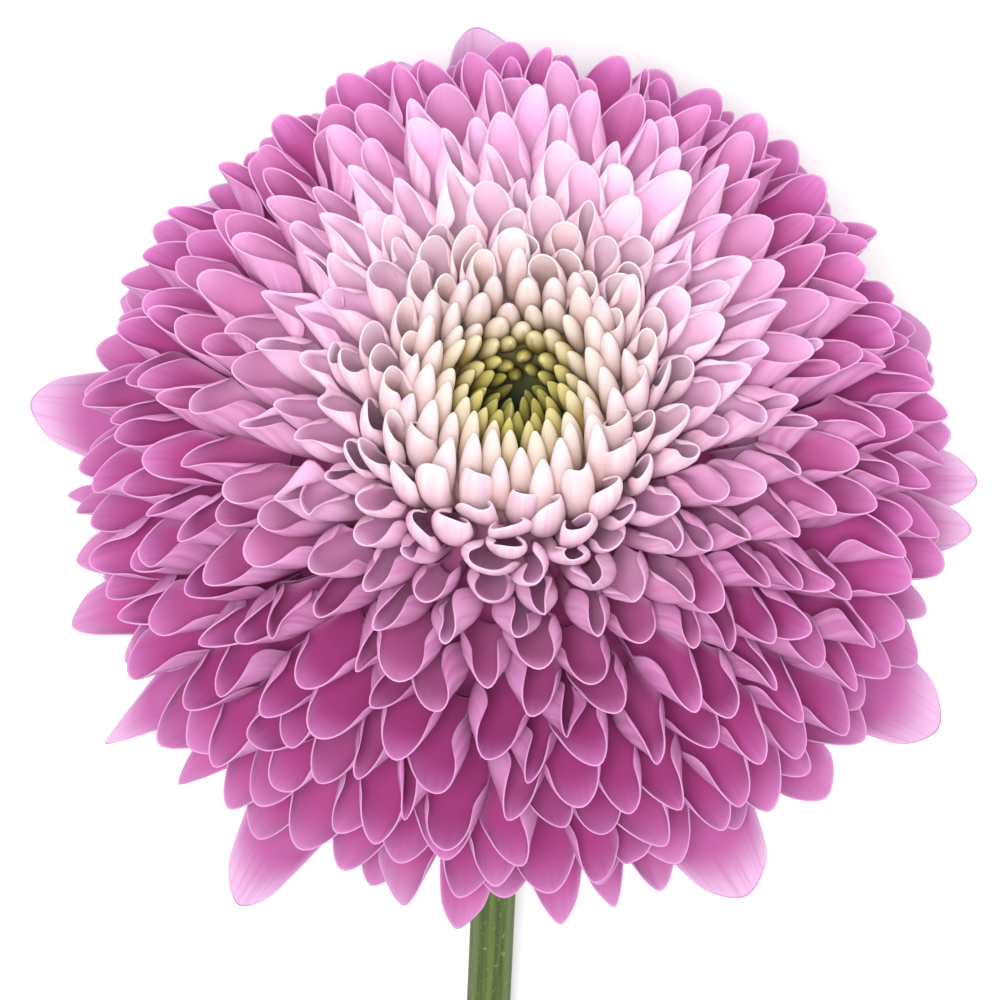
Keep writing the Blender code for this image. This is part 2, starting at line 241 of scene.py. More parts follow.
# Finishes: how streaks are drawn out, how far two florets' streaks lie apart, their detail, and
# the height of all fine relief, in metres
STREAK_LENGTH = 1.3
STREAK_STEP = 60.0
STREAK_DETAIL = 3.0
RELIEF = 0.0002


def mixed(a, b, t):
    return a + (b - a) * t


def smooth(low, high, x):
    t = min(1.0, max(0.0, (x - low) / (high - low)))
    return t * t * (3 - 2 * t)


def either(draw):
    """A draw from -1 to 1, to either side."""
    return draw.uniform(-1, 1)


def tone(red, green, blue):
    """A colour given from 0 to 255, in Blender's linear values."""
    return tuple(
        (c / 12.92 if c <= 0.04045 else ((c + 0.055) / 1.055) ** 2.4)
        for c in (red / 255, green / 255, blue / 255)
    )


def in_metres(name, description, value):
    return FloatProperty(name=name, description=description, default=value, unit="LENGTH")


def in_degrees(name, description, value):
    return FloatProperty(
        name=name, description=description, default=radians(value), subtype="ANGLE", unit="ROTATION"
    )


def dye(name, description, *shade):
    shade = tone(*shade)
    return FloatVectorProperty(name=name, description=description, default=shade, subtype="COLOR")


class BloomLay(bpy.types.PropertyGroup):
    """How the bloom grows and lies."""

    seed: IntProperty(name="Seed", description="Start of the florets' small variations", default=7)
    petal: in_metres("Petal", "Thickness of a ray floret", 0.00026)
    rise: in_degrees("Rise", "Angle of the bloom's axis above the surface", 43)
    place: FloatVectorProperty(
        name="Receptacle", description="Middle of the receptacle, where all florets start",
        default=(-0.001264, -0.069605, 0.0485), subtype="TRANSLATION", unit="LENGTH",
    )


class StemForm(bpy.types.PropertyGroup):
    """Size and course of the stem."""

    radius: in_metres("Radius", "Over the ribs", 0.0032)
    rib: in_metres("Rib", "Height of the ribs", 0.00022)
    flare: in_metres("Flare", "Extra radius under the calyx", 0.0007)
    straight: in_metres("Straight", "Length past the bend", 0.11)
    slope: in_degrees("Slope", "Fall of the straight stretch", 3)
    slant: in_degrees("Slant", "Slant of the cut", 18)


class BloomColours(bpy.types.PropertyGroup):
    """Colours of the florets, from the eye outwards, and of the calyx and the stem."""

    pit: dye("Pit", "Deep green at the foot of the eye florets", 84, 76, 30)
    lime: dye("Lime", "Tips of the eye florets", 190, 178, 100)
    straw: dye("Straw", "Outer eye florets", 218, 204, 178)
    cream: dye("Cream", "Closed buds round the eye", 228, 212, 216)
    # Salmon is painted shade, the hue of shade deep between the buds and the pale florets
    salmon: dye("Salmon", "Foot of the buds and of the pale florets", 234, 204, 200)
    blush: dye("Blush", "Backs of the pale florets", 246, 220, 236)
    pink: dye("Pink", "Backs of the rose florets", 198, 132, 180)
    rose: dye("Rose", "Inner faces of the rose florets", 194, 110, 174)
    # Wine, the foot of the rose florets, is partly their own colour and partly painted shade deep in the
    # cups
    wine: dye("Wine", "Foot of the rose florets", 182, 76, 144)
    lilac: dye("Lilac", "Guard petals", 208, 168, 202)
    # Rim is a painted highlight along the florets' margins
    rim: dye("Rim", "Margins of the florets", 226, 184, 216)
    leaf: dye("Leaf", "Calyx and bracts", 88, 112, 52)
    stalk: dye("Stalk", "Stem", 76, 94, 38)


class StageSettings(bpy.types.PropertyGroup):
    """Camera, floor and light."""

    tilt: in_degrees("Tilt", "Angle of the camera above the bloom's axis", 13)
    roll: in_degrees("Roll", "Turn of the picture, past half a turn", 2.5)
    distance: in_metres("Distance", "From the camera to the receptacle", 0.65)
    field: in_metres("Field", "Width of the picture at the receptacle", 0.1274)
    aside: in_metres("Aside", "How far right of the picture's middle the receptacle is", 0.0016562)
    above: in_metres("Above", "How far above the picture's middle the receptacle is", 0.002548)
    floor: in_metres("Floor", "Half width of the floor", 4.0)
    paper: FloatVectorProperty(
        name="Paper", description="Colour of the floor", default=(0.92, 0.92, 0.92), subtype="COLOR"
    )
    sun: FloatProperty(name="Sun", description="Strength of the window's light", default=2.3)
    softness: FloatProperty(
        name="Softness", description="Width of the window as seen from the bloom", default=0.4,
        subtype="ANGLE", unit="ROTATION",
    )
    sun_from: FloatVectorProperty(
        name="Sun from", description="Where the window's light comes from",
        default=(0.1, -0.52, 0.85), subtype="DIRECTION",
    )


class Signal:
    """A shader socket that can be reckoned with."""

    def __init__(self, finish, socket):
        self.finish = finish
        self.socket = socket

    def reckon(self, operation, first, second):
        return self.finish.node("ShaderNodeMath", {"operation": operation}, {0: first, 1: second})

    def __add__(self, other):
        return self.reckon("ADD", self, other)

    def __mul__(self, other):
        return self.reckon("MULTIPLY", self, other)

    def __radd__(self, other):
        return self.reckon("ADD", other, self)

    def __rmul__(self, other):
        return self.reckon("MULTIPLY", other, self)

    def __abs__(self):
        return self.reckon("ABSOLUTE", self, 0.0)


class Finish:
    """A material round one Principled shader."""

    # A colour mix's sockets
    FACTOR, FIRST, SECOND, RESULT = 0, 6, 7, 2

    def __init__(self, name, roughness, specular=0.5):
        self.material = bpy.data.materials.new(name)
        self.material.use_nodes = True
        self.tree = self.material.node_tree
        self.shader = self.tree.nodes["Principled BSDF"]
        self.shader.inputs["Roughness"].default_value = roughness
        self.shader.inputs["Specular IOR Level"].default_value = specular

    def feed(self, socket, value):
        if isinstance(value, Signal):
            self.tree.links.new(value.socket, socket)
        elif hasattr(socket.default_value, "__len__") and len(value) < len(socket.default_value):
            socket.default_value = (*value, 1.0)
        else:
            socket.default_value = value

    def node(self, kind, settings=None, sockets=None, out=0):
        """Any node: its settings first, then the values or links of its sockets."""
        made = self.tree.nodes.new(kind)
        for name, value in (settings or {}).items():
            setattr(made, name, value)
        for key, value in (sockets or {}).items():
            self.feed(made.inputs[key], value)
        return Signal(self, made.outputs[out])

    def mark(self, name):
        return self.node("ShaderNodeAttribute", {"attribute_name": name}, out="Fac")

    def place(self):
        return self.node("ShaderNodeTexCoord", out="Object")

    def blend(self, factor, a, b, how="MIX"):
        sockets = {self.FACTOR: factor, self.FIRST: a, self.SECOND: b}
        settings = {"data_type": "RGBA", "blend_type": how}
        return self.node("ShaderNodeMix", settings, sockets, self.RESULT)

    def ramp(self, along, *stops):
        """Colours along a value: each stop has its place, then a colour or a shade as for tone."""
        made = self.node("ShaderNodeValToRGB", None, {0: along}, "Color")
        ramp = made.socket.node.color_ramp.elements
        while len(ramp) < len(stops):
            ramp.new(1.0)
        for element, (position, *shade) in zip(ramp, stops):
            element.position = position
            element.color = (*(tone(*shade) if len(shade) == 3 else shade[0]), 1.0)
        return made

    def step(self, value, low, high):
        """0 below low, 1 above high, eased between."""
        settings = {"interpolation_type": "SMOOTHSTEP"}
        return self.node("ShaderNodeMapRange", settings, {0: value, 1: low, 2: high}, "Result")

    def noise(self, where, scale, detail=2.0):
        sockets = {"Vector": where, "Scale": scale, "Detail": detail}
        return self.node("ShaderNodeTexNoise", None, sockets, "Fac")

    def streaks(self, across, along, tint, fine):
        """Noise drawn out along a floret, from 0 to 1."""
        places = {0: across * fine, 1: along * STREAK_LENGTH, 2: tint * STREAK_STEP}
        return self.noise(self.node("ShaderNodeCombineXYZ", None, places), 1.0, STREAK_DETAIL)

    def coat(self, colour, height=None, strength=0.3):
        """Colours the shader and gives it a fine relief."""
        self.feed(self.shader.inputs["Base Color"], colour)
        if height:
            sockets = {"Height": height, "Strength": strength, "Distance": RELIEF}
            self.feed(self.shader.inputs["Normal"], self.node("ShaderNodeBump", None, sockets, "Normal"))
        return self.material


def petal_inside(paint):
    """Inner faces: deep at the foot, partly their own colour and partly painted shade deep in the cups;
    lighter to the tip, with a painted highlight along the margins and the tip; finely veined.
    """
    made = Finish("petal_inside", 0.6, 0.15)
    age, along, across, tint = (made.mark(name) for name in MARKS)
    body = made.ramp(
        age, (0.14, 255, 242, 242), (0.21, 255, 242, 254), (0.29, 255, 230, 255),
        (0.37, 240, 196, 234), (0.46, 218, 146, 198), (0.58, 206, 126, 190),
        (0.72, paint.rose), (0.90, 180, 112, 164), (0.96, paint.lilac),
    )
    # The foot colour: the florets' own deeper colour, also drawn in the veins, and partly painted shade
    # deep in the cups
    foot = made.ramp(
        age, (0.14, 255, 228, 224), (0.20, 255, 222, 240), (0.28, 255, 204, 240),
        (0.36, 240, 180, 222), (0.46, 202, 108, 168), (0.56, paint.wine),
        (0.92, paint.wine), (0.97, 172, 88, 148),
    )
    # Pale colour of the margins: a painted highlight along them, also used to make some florets paler at
    # random
    margin_highlight = made.ramp(
        age, (0.14, paint.cream), (0.25, paint.blush), (0.5, 226, 162, 206), (0.9, 206, 144, 192),
        (0.96, paint.lilac),
    )
    colour = made.blend(made.step(along, 0.84, 1.0), foot, body)
    veins = made.streaks(across, along, tint, 9.0)
    colour = made.blend(made.step(veins, 0.45, 0.72) * 0.32, colour, foot)
    # Painted highlight: paler along the margins and at the tip
    edge = made.step(abs(across), 0.7, 1.02) * 0.45 + made.step(along, 0.94, 1.02) * 0.3
    colour = made.blend(edge, colour, margin_highlight)
    colour = made.blend(made.step(tint, 0.7, 1.0) * 0.15, colour, margin_highlight)
    return made.coat(colour, veins, 0.25)


def petal_back(paint):
    """Outer faces: paler, with long streaks, darker towards the foot as painted shade, and a lilac flush
    towards the tip.
    """
    made = Finish("petal_back", 0.55, 0.3)
    age, along, across, tint = (made.mark(name) for name in MARKS)
    body = made.ramp(
        age, (0.14, paint.cream), (0.18, 246, 228, 232), (0.25, paint.blush),
        (0.36, 214, 162, 200), (0.55, paint.pink), (0.90, 188, 126, 172), (0.96, paint.lilac),
    )
    # The foot colour: the darker streaks, and painted shade towards the foot where the backs lie deep
    # between florets, salmon on the pale florets
    foot = made.ramp(
        age, (0.14, paint.salmon), (0.22, 242, 206, 220), (0.36, 204, 134, 176),
        (0.5, 178, 98, 152), (0.92, 176, 106, 158), (0.97, 180, 132, 172),
    )
    colour = made.blend(made.step(along, 0.65, 0.92), foot, body)
    streaks = made.streaks(across, along, tint, 7.0)
    colour = made.blend(made.step(streaks, 0.42, 0.62) * 0.7, colour, foot)
    flush = made.streaks(across, along * 2.0, tint + 0.3, 2.0)
    flush = made.step(flush, 0.5, 0.75) * made.step(along, 0.75, 1.0) * 0.5
    colour = made.blend(flush, colour, tone(212, 160, 204))
    return made.coat(colour, streaks, 0.3)


def petal_rim_highlight(paint):
    """The thin margins between the two faces, pale as a painted highlight."""
    made = Finish("petal_rim_highlight", 0.5)
    age = made.mark("age")
    colour = made.ramp(
        age, (0.08, paint.straw), (0.14, paint.cream), (0.28, paint.rim), (0.5, 214, 154, 200),
        (0.95, 200, 142, 190),
    )
    return made.coat(colour)


def bud_green(paint):
    """Eye florets: dark green at the foot, partly their own colour and partly painted shade between
    them, lime at the tip, partly a painted highlight on their tops, straw on the outer ones.
    """
    made = Finish("bud_green", 0.5, 0.3)
    age, along, across, tint = (made.mark(name) for name in MARKS)
    tip = made.ramp(
        age, (0.0, paint.pit), (0.025, 140, 134, 58), (0.05, paint.lime), (0.08, paint.straw),
    )
    # The foot colour: the eye florets' own darker green, and painted shade deep between them
    foot = made.ramp(age, (0.0, paint.pit), (0.05, 110, 100, 44), (0.08, 176, 150, 88))
    colour = made.blend(made.step(along, 0.87, 0.98), foot, tip)
    speckle = made.streaks(across, along, tint, 3.0)
    colour = made.blend(made.step(speckle, 0.45, 0.7) * 0.25, colour, paint.straw)
    # Painted shade: the foot colour in the crease on each bud's inner side
    colour = made.blend(made.step(across, 0.86, 1.0) * 0.5, colour, foot)
    return made.coat(colour, speckle, 0.2)


def bud_cream(paint):
    """Closed buds: cream over a salmon foot that is painted shade deep between them, some flushed with
    lilac at the tip.
    """
    made = Finish("bud_cream", 0.5, 0.3)
    age, along, across, tint = (made.mark(name) for name in MARKS)
    tip = made.ramp(age, (0.075, paint.straw), (0.1, 226, 211, 206), (0.13, paint.cream))
    # The foot colour is painted shade between the buds
    foot = made.ramp(
        age, (0.075, 204, 184, 144), (0.1, 222, 200, 188), (0.13, 230, 202, 200),
    )
    colour = made.blend(made.step(along, 0.84, 0.95), foot, tip)
    flush = made.step(made.streaks(across, along * 3.0, tint, 1.5), 0.48, 0.7)
    flush = flush * made.step(along, 0.93, 1.0) * made.step(tint, 0.35, 0.8) * made.step(age, 0.07, 0.12)
    colour = made.blend(flush * 0.8, colour, tone(214, 170, 214))
    # Painted shade: the foot colour in the crease on each bud's inner side
    colour = made.blend(made.step(across, 0.86, 1.0) * 0.45, colour, foot)
    streaks = made.streaks(across, along, tint, 5.0)
    return made.coat(colour, streaks, 0.2)


def heart_painted_shade(paint):
    """The dark middle of the head, seen only between florets: painted shade in the gaps, dark green in
    the eye and deep pinks further out, with a darker grain.
    """
    made = Finish("heart_painted_shade", 0.8)
    where = made.place()
    grain = made.noise(where, 400.0)
    layers = made.ramp(
        made.mark("age"), (0.02, 40, 46, 16), (0.06, 76, 80, 30), (0.11, 130, 118, 64),
        (0.18, 236, 200, 206), (0.28, 222, 156, 192), (0.36, 202, 112, 164),
        (0.46, 190, 80, 148), (0.56, paint.wine),
    )
    return made.coat(made.blend(grain * 0.3, layers, tone(120, 70, 80), "MULTIPLY"), grain)


def bract_green(paint):
    """Calyx: leaf green with a darker midrib and veins, and dry margins and tips on the bracts."""
    made = Finish("bract_green", 0.6, 0.3)
    where = made.place()
    along, across = made.mark("along"), made.mark("across")
    mottle = made.noise(where, 700.0, 4.0)
    colour = made.blend(made.step(mottle, 0.3, 0.7), 0.62 * paint.leaf, paint.leaf)
    veins = made.streaks(across, along, 0.5, 7.0)
    colour = made.blend(made.step(veins, 0.45, 0.65) * 0.4, colour, tone(132, 150, 84))
    dry = made.step(abs(across), 0.72, 0.95) + made.step(along, 0.88, 1.0)
    colour = made.blend(dry * 0.8, colour, tone(172, 152, 108))
    return made.coat(colour, veins + mottle, 0.4)


def stalk_green(paint):
    """Stem: olive green, streaked and faintly speckled along its ribs."""
    made = Finish("stalk_green", 0.55, 0.35)
    where = made.place()
    drawn = made.node("ShaderNodeVectorMath", {"operation": "MULTIPLY"}, {0: where, 1: (1800, 60, 1800)})
    fibres = made.noise(drawn, 1.0, 3.0)
    colour = made.blend(made.step(fibres, 0.35, 0.7), 0.6 * paint.stalk, paint.stalk)
    specks = made.noise(where, 1500.0)
    colour = made.blend(made.step(specks, 0.62, 0.72) * 0.45, colour, tone(150, 160, 96))
    ribs = made.mark("across")
    colour = made.blend(made.step(ribs, 0.4, 1.0) * 0.35, colour, tone(112, 130, 62))
    return made.coat(colour, fibres + specks, 0.35)


def cut_pale():
    """Cut end: pale green pith with a darker ring of fibres."""
    made = Finish("cut_pale", 0.7)
    where = made.place()
    cells = made.node("ShaderNodeTexVoronoi", None, {"Vector": where, "Scale": 2500.0}, "Distance")
    colour = made.blend(made.step(cells, 0.1, 0.6), tone(146, 160, 96), tone(182, 190, 132))
    return made.coat(colour, cells, 0.4)


class Floret:
    """One ray floret: a spine in its own meridian plane and a cupped section along it."""

    def __init__(self, azimuth, polar, root, form, draw, guard=False):
        reach, spacing, lean, radius, curl, incurve = form
        bud = polar < BUD_POLAR
        ease = BUD_EASE if bud else 1.0
        self.azimuth = azimuth
        self.polar = polar
        self.guard = guard
        self.reach = reach * (1 + VARY_REACH * either(draw) * ease)
        self.lean = lean + mixed(*VARY_LEAN, smooth(50, 80, polar)) * either(draw) * ease
        self.radius = radius * (1 + (VARY_BUD_WIDTH if bud else VARY_WIDTH) * either(draw))
        self.radius *= 1 + UPPER_FULLER * smooth(13, 4, polar) * max(0.0, -sin(azimuth))
        self.curl = curl * (1 + VARY_CURL * either(draw))
        self.incurve = incurve * (1 + VARY_INCURVE * either(draw))
        sideways = TURN * cos(azimuth) * smooth(16, 30, polar) * smooth(100, 85, polar)
        self.twist = radians(VARY_TURN * either(draw) + sideways)
        self.side = VARY_SWAY * min(spacing, WIDEST_SWAY) * either(draw) * ease
        self.round = smooth(1.3, 2.2, curl)
        self.tube = mixed(TUBE, curl + TUBE_CLOSER * smooth(80, 45, polar), smooth(24, 45, polar))
        self.hook = 0.0 if guard or bud else HOOK * smooth(100, 40, polar)
        self.skew = self.notch = self.ripple = self.keel = 0.0
        self.blunt = self.tint = 0.5
        self.opens = mixed(*OPENS, smooth(35, 60, polar))
        self.shallow = 1 - SHALLOWER * smooth(14, 20, polar) * smooth(60, 36, polar)
        self.nod = tan(radians(NOD)) * smooth(26, 9, polar)
        self.age = polar / 100
        self.root = root
        self.pressed = {}
        self.make_spine()

    def make_spine(self):
        """Points (radius, height) and directions of the spine, root to tip."""
        root = self.root
        polar = radians(self.polar)
        end = radians(self.polar + self.lean)
        tip = (self.reach * sin(polar), self.reach * cos(polar))
        gap = mixed(*KNEE, smooth(5, 25, self.polar)) * dist(root, tip)
        knee = (tip[0] - gap * sin(end), tip[1] - gap * cos(end))
        spine = [root]
        angles = []
        for i in range(SPINE_STEPS):
            t = (i + 0.5) / SPINE_STEPS
            across, up = (
                2 * ((1 - t) * (knee[k] - root[k]) + t * (tip[k] - knee[k])) / SPINE_STEPS
                for k in (0, 1)
            )
            bend = self.incurve * smooth(INCURVE_FROM, 1.0, t) + self.hook * smooth(HOOK_FROM, 1.0, t)
            angle = atan2(across, up) - radians(bend)
            length = hypot(across, up)
            r, z = spine[-1]
            spine.append((r + length * sin(angle), z + length * cos(angle)))
            angles.append(angle)
        angles.append(angles[-1])
        miss = [tip[k] - spine[-1][k] for k in (0, 1)]
        self.spine = [
            (r + miss[0] * i / SPINE_STEPS, z + miss[1] * i / SPINE_STEPS)
            for i, (r, z) in enumerate(spine)
        ]
        self.angles = angles

    def along(self, s):
        x = min(max(s, 0.0), 1.0) * (len(self.spine) - 1)
        i = min(int(x), len(self.spine) - 2)
        t = x - i
        (r0, z0), (r1, z1) = self.spine[i:i + 2]
        return mixed(r0, r1, t), mixed(z0, z1, t), mixed(*self.angles[i:i + 2], t)

    def fill(self, u):
        """Share of the full width at u: narrow at the root, widest near the pointed tip."""
        if self.guard:
            grown = mixed(GUARD_ROOT_WIDTH, 1.0, smooth(0.0, GUARD_FULL, u))
            x = max(0.0, (u - GUARD_TAPER) / (1 - GUARD_TAPER))
            return grown * (1 - mixed(0.85, 0.2, self.blunt) * x ** mixed(1.6, 3.0, self.blunt))
        grown = max(ROOT_WIDTH, u ** mixed(0.5, 1.6, smooth(22, 60, self.polar)))
        x = max(0.0, (u - TIP_FROM) / (1 - TIP_FROM))
        return grown * (1 - TIP_NARROWS * x * x)

    def section(self, u, v):
        """Place across the floret and height of its cup: a tube lower down, open at the tip."""
        half = self.radius * self.curl * self.fill(u)
        edge = mixed(self.tube, self.curl, smooth(self.opens, max(OPEN_FULLY, self.opens + 0.07), u))
        edge *= 1 + self.skew * (1 if v > 0 else -1)
        bow = mixed(*BOW, self.round)
        keel = self.keel * smooth(0.84, 0.98, u)
        steps = max(1, round(SECTION_STEPS * abs(v)))
        across = depth = 0.0
        for i in range(steps):
            t = abs(v) * (i + 0.5) / steps
            angle = edge * (keel + (1 - keel) * (bow * t + (1 - bow) * t ** 3))
            across += cos(angle) * half * abs(v) / steps
            depth += sin(angle) * half * abs(v) / steps
        return copysign(across, v), depth * self.shallow

    def placed(self, s, u, across, depth):
        """Point off the spine at s, swayed and turned by how far up the floret it is."""
        r, z, angle = self.along(s)
        turn = self.twist * smooth(TURN_FROM, 1.0, u)
        across, depth = (
            across * cos(turn) - depth * sin(turn),
            across * sin(turn) + depth * cos(turn),
        )
        r -= depth * cos(angle)
        z += depth * sin(angle)
        across += self.side * u * u
        c, d = cos(self.azimuth), sin(self.azimuth)
        nod = self.nod * max(0.0, z - NOD_FROM) ** 2 / NOD_RISE
        return Vector((r * c - across * d, r * d + across * c - nod, z))

    def point(self, u, v, flat=1.0):
        """Place on the inner face at u along and v across (-1 to 1)."""
        if self.guard:
            slant, power = GUARD_SLANT, mixed(1.1, 1.7, self.blunt)
        else:
            slant, power = mixed(*SLANT, smooth(45, 75, self.polar)), mixed(1.3, 2.3, self.blunt)
        s = u - slant * abs(v) ** power * smooth(0.5, 1.0, u)
        notch = self.notch * exp(-((v - NOTCH_PLACE) / NOTCH_WIDTH) ** 2)
        s -= NOTCH_DEPTH * notch * smooth(0.8, 1.0, u)
        across, depth = self.section(u, v)
        wave = sin(u * self.reach / RIPPLE_LENGTH + 9 * self.tint + v)
        depth += self.ripple * abs(v) ** 3 * wave
        return self.placed(s, u, across, depth * flat)

    def rows(self):
        """Shares of the length where the grid has its rows, from the tip down."""
        start = HIDDEN if self.polar < SHOWN_POLAR else 0.0
        return [mixed(1.0, start, (i / ALONG) ** 1.5) for i in range(ALONG + 1)]

    def free_part(self, others, u, side, flat):
        """Share of the half section that meets no other floret."""
        last = self.point(u, 0.0)
        for k in range(1, PRESS_STEPS + 1):
            spot = self.point(u, side * k / PRESS_STEPS, flat)
            share = first_hit(others, last, spot)
            if share < 1.0:
                return max(NARROWEST, (k - 1 + share) / PRESS_STEPS - PRESS_GAP)
            last = spot
        return 1.0

    def press(self, others):
        """Flattens the cup where it would cut through others, then draws its margins in."""
        crossed = 0
        rows = self.rows()
        points = [self.point(u, 0.0) for u in rows]
        for u, low, high in zip(rows, points, points[1:]):
            if u > OPEN_PART and first_hit(others, low, high) < 1.0:
                crossed += CROSSED_MIDDLE
        for side in (-1, 1):
            limit = flat = 1.0
            limits, flats = [], []
            for u in rows:
                if u > OPEN_PART:
                    for flat in FLATS:
                        limit = self.free_part(others, u, side, flat)
                        if limit == 1.0:
                            break
                    crossed += 1.0 - limit + CROSSED_FLAT * (1.0 - flat)
                limits.append(limit)
                flats.append(flat)
            self.pressed[side] = list(zip(eased(limits), eased(flats)))
        return crossed

    def mesh_points(self):
        steps = [2 * k / ACROSS - 1 for k in range(ACROSS + 1)]
        return [self.spot(row, across) for row in range(ALONG + 1) for across in steps]

    def spot(self, row, across):
        """Place of a point of the grid, as pressed."""
        pressed = self.pressed.get(1 if across > 0 else -1)
        limit, flat = pressed[row] if pressed else (1.0, 1.0)
        return self.point(self.rows()[row], across * limit, flat)

    def behind(self, share):
        """Distance behind the tip, for a share of a closed bud's length."""
        by_radius, more = BUD_LENGTHS
        return share * (by_radius * self.radius + more)

    def bud_point(self, share, side):
        """Place on a closed bud: share of its length behind the tip, and angle round it."""
        behind = self.behind(share)
        swell = BUD_SWELL * self.radius
        girth = sin(0.5 * pi * min(1.0, behind / swell) ** mixed(*BUD_BLUNT, self.tint))
        girth *= mixed(1.0, 0.8, smooth(swell, 2.5 * swell, behind))
        crease = exp(-((side - 0.5 * pi) / CREASE_WIDTH) ** 2)
        girth *= self.radius * (1 - CREASE_DEPTH * crease * smooth(0.1, 0.6, behind))
        u = 1 - behind / self.reach
        return self.placed(u, u, girth * cos(side), BUD_FLAT * girth * sin(side))


def plan_bloom(seed):
    """All florets, from the middle out, and the guard petals."""
    draw = random.Random(seed)
    touch = random.Random(seed + 1)
    florets = plan_spiral(draw)
    for floret in florets:
        close_up(floret, touch)
    florets += plan_guards(draw)
    for floret in florets:
        vary(floret, touch)
    press_bloom(florets)
    return florets


def plan_spiral(draw):
    """Florets on a golden-angle spiral."""
    polars = []
    polar = FIRST_POLAR
    while polar < LAST_POLAR:
        reach, spacing = station(polar)[:2]
        polars.append(polar)
        ring = 2 * pi * reach ** 2 * sin(radians(polar))
        polar += degrees(spacing ** 2 / ring)
    florets = []
    for i, polar in enumerate(polars):
        r = RECEPTACLE * sqrt((i + 0.5) / len(polars))
        root = (r, RECEPTACLE_RISE * (1 - (r / RECEPTACLE) ** 2))
        florets.append(Floret(i * GOLDEN_ANGLE, polar, root, station(polar), draw))
    return florets


def plan_guards(draw):
    """The guard petals, each at its own azimuth."""
    guards = []
    for azimuth, reach, blunt, width in GUARDS:
        polar = GUARD_POLAR + GUARD_SPREAD * either(draw)
        form = (reach, *GUARD_FORM)
        guard = Floret(radians(azimuth), polar, (RECEPTACLE, ROOT_HEIGHT), form, draw, guard=True)
        guard.blunt = blunt
        guard.radius *= width
        guard.age = mixed(*GUARD_AGES, smooth(57, 62, reach))
        guards.append(guard)
    return guards


def close_up(floret, draw):
    """Draws how blunt a floret is and how much further its cup has closed, to the same width."""
    floret.blunt = draw.random()
    outer = smooth(22, 34, floret.polar)
    shut = draw.random() ** mixed(1, 3, outer) * smooth(85, 65, floret.polar)
    closer = mixed(*CLOSER, outer) * shut
    floret.opens += 0.1 * shut
    floret.radius *= floret.curl / (floret.curl + closer)
    floret.curl += closer


def vary(floret, draw):
    """Draws a floret's tint, skew, ripple, keel, colour stage with its painted light and shade, and
    notch.
    """
    floret.tint = draw.random()
    floret.skew = SKEW * either(draw)
    floret.ripple = RIPPLE * draw.random()
    floret.keel = draw.uniform(*KEEL) * smooth(18, 30, floret.polar)
    ripe = smooth(12, 30, floret.polar) * smooth(92, 65, floret.polar)
    drift = DRIFT * either(draw) * ripe
    # The colour stage carries painted light, paler on the upper side, and painted shade, darker on the
    # lower side
    if not floret.guard:
        floret.age = ripeness_and_painted_shade(floret.polar, floret.azimuth) + drift
    if floret.polar < NOTCHED_POLAR:
        often = mixed(0.0, NOTCH_RARE, smooth(18, 32, floret.polar))
        floret.notch = max(0.0, draw.uniform(often, 1))


def ripeness_and_painted_shade(polar, azimuth):
    """Where a floret stands between the eye and the rim by its colour; painted light makes the upper
    side paler and painted shade the lower side darker, and the eye is a little paler on its upper side.
    """
    ripe = smooth(10, 40, polar) * smooth(92, 65, polar)
    eye = smooth(1, 4, polar) * smooth(12, 8, polar)
    lower = sin(azimuth)
    return polar / 100 + ripe * (PAINTED_SIDE_LIGHT * lower - PALER) - PALER_EYE * eye * lower


def first_hit(others, start, end):
    """Share of the way from start to end where another floret is met, 1 if none is."""
    way = end - start
    length = nearest = way.length
    if length <= TINY:
        return 1.0
    for tree in others:
        distance = tree.ray_cast(start, way / length, length)[3]
        if distance is not None and distance < nearest:
            nearest = distance
    return nearest / length


def eased(values, slope=0.14):
    """The same values where they are lowest, rising by no more than the slope from row to row."""
    lowest = [
        min(value + slope * abs(i - k) for k, value in enumerate(values))
        for i in range(len(values))
    ]
    padded = [lowest[0], *lowest, lowest[-1]]
    return [mean(padded[i:i + 3]) for i in range(len(values))]


def press_bloom(florets):
    """Settles the open florets one by one, from the middle out, against those already there."""
    corners = [i * (ACROSS + 1) + k for i in range(ALONG) for k in range(ACROSS)]
    quads = [(a, a + 1, a + ACROSS + 2, a + ACROSS + 1) for a in corners]
    settled = []
    for floret in florets:
        if floret.polar < BUD_POLAR:
            continue
        tip = floret.point(1.0, 0.0)
        others = [tree for place, tree in settled if (place - tip).length < NEAR]
        side, lean = floret.side, floret.lean
        best = (inf, 0, 0)
        for shift, tilt in NUDGES:
            floret.side = side + shift
            floret.lean = lean + tilt
            floret.make_spine()
            crossed = floret.press(others) + NUDGE_COST * (abs(shift) + TILT_COST * tilt)
            if crossed < best[0]:
                best = (crossed, shift, tilt)
            if crossed < GOOD_ENOUGH:
                break
        floret.side = side + best[1]
        floret.lean = lean + best[2]
        floret.make_spine()
        floret.press(others)
        settled.append((floret.point(1.0, 0.0), BVHTree.FromPolygons(floret.mesh_points(), quads)))


def station(polar):
    """A floret's form at a polar angle, from the STATIONS on both sides of it."""
    low, high = next(pair for pair in zip(STATIONS, STATIONS[1:]) if polar <= pair[1][0])
    t = (polar - low[0]) / (high[0] - low[0])
    return [mixed(a, b, t) for a, b in zip(low[1:], high[1:])]


def bloom_place(lay):
    """Bloom frame, in millimetres, to the surface's frame, in metres."""
    turn = Matrix.Rotation(radians(90) - lay.rise, 4, "X")
    return Matrix.Translation(lay.place) @ turn @ Matrix.Scale(MM, 4)


def marked_mesh():
    """An empty mesh, and its layers for the marks that the colours go by."""
    bm = bmesh.new()
    return bm, {name: bm.verts.layers.float.new(name) for name in MARKS}


def note(vert, marks, *values):
    """Notes a vertex's colour stage with its painted light and shade, place along, place across and
    tint.
    """
    for mark, value in zip(marks.values(), values):
        vert[mark] = value


